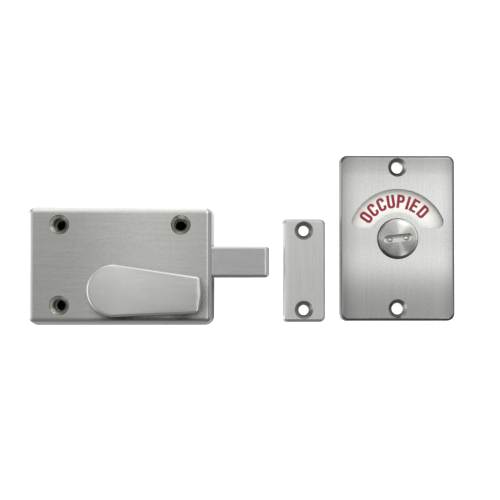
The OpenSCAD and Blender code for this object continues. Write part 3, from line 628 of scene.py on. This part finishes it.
def makeTurn(shape, slot):
    place = placeAt(turnCentre, slot["lean"])
    count, head, soft, floor = (shape[key] for key in ("points", "head", "soft", "floor"))
    face = head - shape["bevel"]
    shoulder = shape["top"] - shape["dome"]
    crest = head - shape["rim"]
    turned = [(shape["neck"], shape["neckLow"]), (shape["neck"], shape["low"]), (head - soft, shape["low"]),
              (head, shape["low"] + soft), (head, shape["rimLow"]), (crest, shape["rimTop"]),
              (crest - soft, shape["rimTop"] + soft), (face + soft, shoulder - soft / 2),
              (face - soft, shoulder)]
    socket = squareTo(shape["socket"], count)
    steps = [([(0.0, 0.0)] * count, shape["socketTop"]), (socket, shape["socketTop"]),
             (socket, shape["neckLow"])]
    rings = levelRings(steps + [(roundTo(radius, count), z) for radius, z in turned], place)

    def domed(x, y):
        return shape["top"] - shape["dome"] * (x * x + y * y) / (face - soft) ** 2

    half = slot["width"] / 2
    reach = slot["length"] / 2 - half
    rim, mouth = roundTo(face - soft, count), slotOutline(reach, half, count)
    for share in shape["faceShares"]:
        points = between(rim, mouth, share)
        rings.append(ringAt(points, [domed(x, y) for x, y in points], place))
    for share in shape["dishShares"]:  # the slot is dished
        points = slotOutline(reach, half * share, count)
        heights = [floor + (domed(x, y) - floor) * share ** 2 for x, y in points]
        rings.append(ringAt(points, heights, place))
    rings += levelRings([([(min(max(x, -reach), reach), 0.0) for x, y in mouth], floor)], place)
    return loft("coin_turn_head", rings, turnSatin)


turn = makeTurn(turnShape, coinSlot)
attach(turn, "turn_group")
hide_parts("coin_turn")
print("coin turn made")


# Printed words on the disc: narrow bold letters, one unit high
letterShape = {
    "width": 0.585, "stem": 0.21, "bar": 0.175, "round": 0.25, "inner": 0.085, "steps": 8, "waist": 0.40,
    "gap": 0.14, "armCut": 0.06, "midCut": 0.04, "slant": 0.60, "splay": 0.02, "pointV": 0.115,
    "forkV": 0.30, "pointA": 0.12, "footA": 0.20, "legSlope": 0.45 / 0.70, "barA": 0.345, "eyeA": 0.062,
    "eyeTop": 0.74,
}


def arcs(x0, y0, x1, y1, r, starts):
    # rounded corners of a box, each given by the angle that its arc starts at; r may be 0
    middles = {180: (x0 + r, y0 + r), 270: (x1 - r, y0 + r), 0: (x1 - r, y1 - r), 90: (x0 + r, y1 - r)}
    steps = letterShape["steps"]
    return [swing(*middles[start], r, start + 90 * k / steps)
            for start in starts for k in range(steps + 1 if r else 1)]


def roundBox(x0, y0, x1, y1, radii):
    # corners anticlockwise from the lower left
    starts = (180, 270, 0, 90)
    return [point for r, start in zip(radii, starts) for point in arcs(x0, y0, x1, y1, r, (start,))]


def letterOutlines(form):
    w, s, t, r, q = (form[key] for key in ("width", "stem", "bar", "round", "inner"))
    mid, splay, waist, foot, bar = w / 2, form["splay"], form["waist"], form["footA"], form["barA"]
    arm, low, high = w - form["armCut"], 0.5 - t / 2, 0.5 + t / 2
    tongue = arm - form["midCut"]
    leg = s - splay + (mid - s) * form["legSlope"] * foot
    gapLow, gapHigh = 0.5 - form["gap"], 0.5 + form["gap"]
    bowl = roundBox(0, waist, w, 1, (0, r, r, 0))[1:]
    cup, cupInner = arcs(0, 0, w, 1, r, (180, 270)), arcs(s, t, w - s, 1, q, (180, 270))
    hook, hookInner = (arcs(x, y, w - x, 1 - y, corner, (0, 90, 180, 270))
                       for x, y, corner in ((0, 0, r), (s, t, q)))
    return {
        "O": [roundBox(0, 0, w, 1, (r,) * 4), roundBox(s, t, w - s, 1 - t, (q,) * 4)],
        "D": [roundBox(0, 0, w, 1, (0, r, r, 0)), roundBox(s, t, w - s, 1 - t, (0, q, q, 0))],
        "P": [[(0, 0), (s, 0), (s, waist)] + bowl, roundBox(s, waist + t, w - s, 1 - t, (0, q, q, 0))],
        "U": [[(0, 1)] + cup + [(w, 1), (w - s, 1)] + cupInner[::-1] + [(s, 1)]],
        "C": [[(w, gapHigh)] + hook + [(w, gapLow), (w - s, gapLow)] + hookInner[::-1] + [(w - s, gapHigh)]],
        "I": [[(0, 0), (s, 0), (s, 1), (0, 1)]],
        "E": [[(0, 0), (arm, 0), (arm, t), (s, t), (s, low), (tongue, low), (tongue, high), (s, high),
               (s, 1 - t), (arm, 1 - t), (arm, 1), (0, 1)]],
        "T": [[(mid - s / 2, 0), (mid + s / 2, 0), (mid + s / 2, 1 - t), (w, 1 - t), (w, 1), (0, 1),
               (0, 1 - t), (mid - s / 2, 1 - t)]],
        "N": [[(0, 0), (s, 0), (s, form["slant"]), (w - s, 0), (w, 0), (w, 1), (w - s, 1),
               (w - s, 1 - form["slant"]), (s, 1), (0, 1)]],
        "V": [[(mid - form["pointV"], 0), (mid + form["pointV"], 0), (w + splay, 1), (w - s, 1),
               (mid, form["forkV"]), (s, 1), (-splay, 1)]],
        "A": [[(-splay, 0), (s - splay, 0), (leg, foot), (w - leg, foot), (w - s + splay, 0), (w + splay, 0),
               (mid + form["pointA"], 1), (mid - form["pointA"], 1)],
              [(mid - form["eyeA"], bar), (mid + form["eyeA"], bar), (mid, form["eyeTop"])]],
    }


def printWord(name, look):
    # each letter stands on the base circle and leans with it
    curve = bpy.data.curves.new(name, "CURVE")
    curve.dimensions = "2D"
    curve.fill_mode = "BOTH"
    curve.extrude = look["ink"] / 2
    outlines = letterOutlines(letterShape)
    word, size = look["word"], look["height"]
    widths = [letterShape["stem"] if letter == "I" else letterShape["width"] for letter in word]
    run = -(sum(widths) + look["gap"] * (len(word) - 1)) / 2
    for letter, width in zip(word, widths):
        turnBy = math.radians(look["middle"]) - (run + width / 2) * size / look["baseMid"]
        c, s = math.cos(turnBy), math.sin(turnBy)
        for outline in outlines[letter]:
            spline = curve.splines.new("POLY")
            spline.points.add(len(outline) - 1)
            spline.use_cyclic_u = True
            for point, (x, y) in zip(spline.points, outline):
                u, v = (x - width / 2) * size, look["base"] + y * size
                point.co = (v * c + u * s, v * s - u * c, 0.0, 1.0)
        run += width + look["gap"]
    drawn = addPiece(name, curve)
    bpy.context.view_layer.update()
    mesh = bpy.data.meshes.new_from_object(drawn.evaluated_get(bpy.context.evaluated_depsgraph_get()))
    bpy.data.objects.remove(drawn)
    bpy.data.curves.remove(curve)
    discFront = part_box("indicator_disc")[1].z
    mesh.transform(Matrix.Translation((turnCentre.x, turnCentre.y, discFront + look["ink"] / 2)))
    mesh.materials.clear()
    mesh.materials.append(look["colour"])
    mesh.name = name
    piece = addPiece(name, mesh)
    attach(piece, "turn_group")


wordLook = {"word": "OCCUPIED", "height": 5.8 * mm, "base": 13.35 * mm, "baseMid": 16.3 * mm, "gap": 0.164,
            "middle": 95.5, "ink": 0.03 * mm, "colour": redInk}
backLook = dict(wordLook, word="VACANT", middle=wordLook["middle"] + 180, colour=greenInk, gap=0.30)
printWord("occupied_word", wordLook)
printWord("vacant_word", backLook)
print("words printed")


# Stage: a pale floor that sweeps up far away, lit by a plain soft studio
stage = {"radius": 3.0, "sweep": 1.2, "sweepSteps": 8, "wall": 2.5, "points": 96, "glow": 0.80,
         "albedo": 0.8, "roughness": 0.9, "cloudSize": 0.6, "cloudTint": 0.01, "underCase": 0.05,
         "margin": 3 * mm}


def makeFloor(look):
    material, tree, shader = newMaterial("pale_floor")
    place = addNode(tree, "TexCoord").outputs["Object"]
    cloud = noise(tree, place, (look["cloudSize"],) * 3)
    shader.inputs["Roughness"].default_value = look["roughness"]
    shader.inputs["Emission Color"].default_value = (1.0, 1.0, 1.0, 1.0)
    low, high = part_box("lock_case")
    middle, half = (low + high) / 2, (high - low) / 2
    parts = axes(tree, place)
    lit = 0.0
    for axis in "xy":  # painted shade: the floor is dark under the closed case
        away = calc(tree, "ABSOLUTE", calc(tree, "SUBTRACT", parts[axis.upper()], getattr(middle, axis)))
        beyond = calc(tree, "GREATER_THAN", away, getattr(half, axis) - look["margin"])
        lit = calc(tree, "MAXIMUM", lit, beyond)
    plug(tree, shader.inputs["Emission Strength"], calc(tree, "MULTIPLY", lit, look["glow"]))
    paint = calc(tree, "MULTIPLY", vary(tree, cloud, look["cloudTint"]),
                 spread(tree, lit, look["underCase"], 1.0))
    plug(tree, shader.inputs["Base Color"], tint(tree, (look["albedo"],) * 3, paint))
    profile = [(0.0, 0.0), (look["radius"], 0.0)]
    for sine, cosine in quarter(look["sweepSteps"])[1:]:
        profile.append((look["radius"] + look["sweep"] * sine, look["sweep"] * (1 - cosine)))
    profile.append((look["radius"] + look["sweep"], look["wall"]))
    rings = levelRings([(roundTo(r, look["points"]), z) for r, z in profile], Matrix.Identity(4))
    floor = loft("floor", rings, material)
    floor.visible_glossy = False  # the metal mirrors the studio sky instead


makeFloor(stage)

# Shadow of the thrown bolt: only the metal mirrors it, in the foot of the case's wall
shadow = {"width": 18 * mm, "lift": 0.3 * mm, "color": (0.22, 0.22, 0.22, 1.0)}


def makeShadow(look):
    material, tree, shader = newMaterial("shadow")
    shader.inputs["Base Color"].default_value = look["color"]
    shader.inputs["Roughness"].default_value = 1.0
    low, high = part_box("lock_case")
    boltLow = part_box("bolt")[0].y
    far, z = high.x + look["width"], look["lift"]
    mesh = bpy.data.meshes.new("bolt_shadow")
    mesh.from_pydata([(high.x, low.y, z), (far, low.y, z), (far, boltLow, z), (high.x, boltLow, z)], [],
                     [(0, 1, 2, 3)])
    mesh.materials.append(material)
    card = addPiece("bolt_shadow", mesh)
    card.visible_camera = False
    card.visible_diffuse = False
    card.visible_shadow = False


makeShadow(shadow)

# Studio sky, in degrees. Overhead its brightness follows the angle from straight up, towards the north and
# towards the east; round the sides it follows the compass; below the horizon it is the floor as the metal
# mirrors it. The joins say how far from straight up each band starts and is full.
sky = {
    "north": [(-14, 0.55), (-4, 0.48), (-1, 0.30), (-0.67, 0.33), (-0.4, 0.44), (0.14, 0.43), (0.4, 0.47),
              (0.67, 0.62), (0.94, 0.84), (1.21, 1.03), (1.48, 1.08), (1.75, 0.96), (2.0, 0.82), (2.4, 0.83),
              (2.8, 0.93), (3.3, 1.0), (3.9, 1.0), (4.2, 0.97), (4.5, 0.90), (4.8, 0.83), (5.2, 0.77),
              (5.8, 0.72), (6.6, 0.69), (7.5, 0.66), (8.5, 0.64), (10, 0.80), (14, 1.0)],
    "east": [(-14, 1.0), (-9, 0.92), (-7, 0.66), (-5.5, 0.62), (-4.6, 0.66), (-3.4, 0.80), (-2.5, 1.02),
             (-2.0, 1.17), (-1.6, 1.24), (-1.2, 1.20), (-0.8, 1.02), (-0.3, 0.86), (0.3, 0.78), (2, 0.80),
             (4.5, 0.76), (6, 0.80), (8, 1.03), (11, 1.22), (16, 1.4)],
    "lamps": [{"east": 17.5, "north": 26.3, "inner": 4.0, "outer": 14.0, "glow": 3.0},
              {"east": 15.5, "north": -18.0, "inner": 2.0, "outer": 8.0, "glow": 3.8}],
    "joins": [("slope", 14, 40), ("rim", 48, 86), ("below", 88, 100)],
    "slope": [(-180, 0.24), (-135, 0.35), (-110, 0.80), (-85, 0.95), (-45, 0.50), (-25, 0.85), (-10, 1.05),
              (30, 1.05), (50, 0.90), (90, 0.58), (135, 0.28), (180, 0.24)],
    "rim": [(-180, 0.17), (-140, 0.35), (-118, 1.9), (-80, 2.1), (-60, 0.8), (-45, 0.60), (-25, 0.95),
            (-8, 1.4), (30, 1.5), (50, 1.0), (90, 0.65), (135, 0.24), (180, 0.17)],
    "below": [(-180, 0.35), (-130, 0.60), (-105, 1.5), (-70, 1.3), (-45, 0.6), (-20, 1.0), (0, 1.5),
              (45, 1.1), (80, 0.66), (110, 0.55), (150, 0.38), (180, 0.35)],
}


def skyBand(tree, angle, stops):
    # brightness along an angle, from a list of (degrees, brightness)
    first, last = stops[0][0], stops[-1][0]
    share = addNode(tree, "MapRange", {"Value": angle, "From Min": math.radians(first),
                                       "From Max": math.radians(last)})
    band = addNode(tree, "ValToRGB", {"Fac": share.outputs["Result"]})
    elements = band.color_ramp.elements
    elements.remove(elements[1])
    for k, (degrees, value) in enumerate(stops):
        at = (degrees - first) / (last - first)
        element = elements[0] if k == 0 else elements.new(at)
        element.position = at
        element.color = (value, value, value, 1.0)
    return band.outputs["Color"]


def makeSky(look):
    world = bpy.data.worlds.new("studio_sky")
    scene.world = world
    world.use_nodes = True
    tree = world.node_tree
    ray = addNode(tree, "TexCoord").outputs["Generated"]
    parts = axes(tree, ray)
    north = skyBand(tree, calc(tree, "ARCTAN2", parts["Y"], parts["Z"]), look["north"])
    east = skyBand(tree, calc(tree, "ARCTAN2", parts["X"], parts["Z"]), look["east"])
    compass = calc(tree, "ARCTAN2", parts["X"], parts["Y"])
    fromTop = calc(tree, "ARCCOSINE", parts["Z"])
    shade = vecCalc(tree, "MULTIPLY", north, east)
    for band, start, full in look["joins"]:
        share = fade(tree, fromTop, math.radians(start), math.radians(full))
        shade = mixColor(tree, share, shade, skyBand(tree, compass, look[band]))
    for lamp in look["lamps"]:
        slopes = (math.tan(math.radians(lamp["east"])), math.tan(math.radians(lamp["north"])), 1.0)
        away = vecCalc(tree, "LENGTH", vecCalc(tree, "SUBTRACT", ray, Vector(slopes).normalized()))
        lit = within(tree, away, math.radians(lamp["inner"]), math.radians(lamp["outer"]))
        shade = vecCalc(tree, "ADD", shade, tint(tree, (lamp["glow"],) * 3, lit))
    plug(tree, tree.nodes["Background"].inputs["Color"], shade)


makeSky(sky)

# Soft box overhead: it lights the enamel and the floor, and the metal mirrors only the sky
softBox = {"place": (-0.1, 0.75, 0.85), "size": 0.6, "power": 4.0}


def makeSoftBox(look):
    data = bpy.data.lights.new("soft_box", "AREA")
    data.shape = "DISK"
    data.size = look["size"]
    data.energy = look["power"]
    lamp = addPiece("soft_box", data)
    lamp.location = look["place"]
    lamp.rotation_euler = Vector(look["place"]).to_track_quat("Z", "Y").to_euler()
    lamp.visible_camera = False
    lamp.visible_glossy = False


makeSoftBox(softBox)
print("stage, sky and soft box set")

# Camera: almost straight down, from a little left of the middle and towards the foot of the picture
shot = {"eye": (-22.4 * mm, -24.65 * mm, 650 * mm), "aim": (-3.07 * mm, -9.41 * mm), "shift": (0.03, 0.0235),
        "focal": 1501.6, "frame": 500, "sensor": 36.0, "clip": (0.01, 20.0)}


def makeCamera(look):
    data = bpy.data.cameras.new("camera")
    data.sensor_width = look["sensor"]
    data.lens = look["sensor"] * look["focal"] / look["frame"]
    data.clip_start, data.clip_end = look["clip"]
    data.shift_x, data.shift_y = look["shift"]
    camera = addPiece("camera", data)
    camera.location = look["eye"]
    eyeX, eyeY, eyeZ = look["eye"]
    aimX, aimY = look["aim"]
    across = math.hypot(aimX - eyeX, eyeZ)
    camera.rotation_euler = (math.atan2(aimY - eyeY, across), -math.atan2(aimX - eyeX, eyeZ), 0.0)  # no roll
    scene.camera = camera


makeCamera(shot)
scene.view_settings.view_transform = "Standard"
scene.view_settings.look = "None"
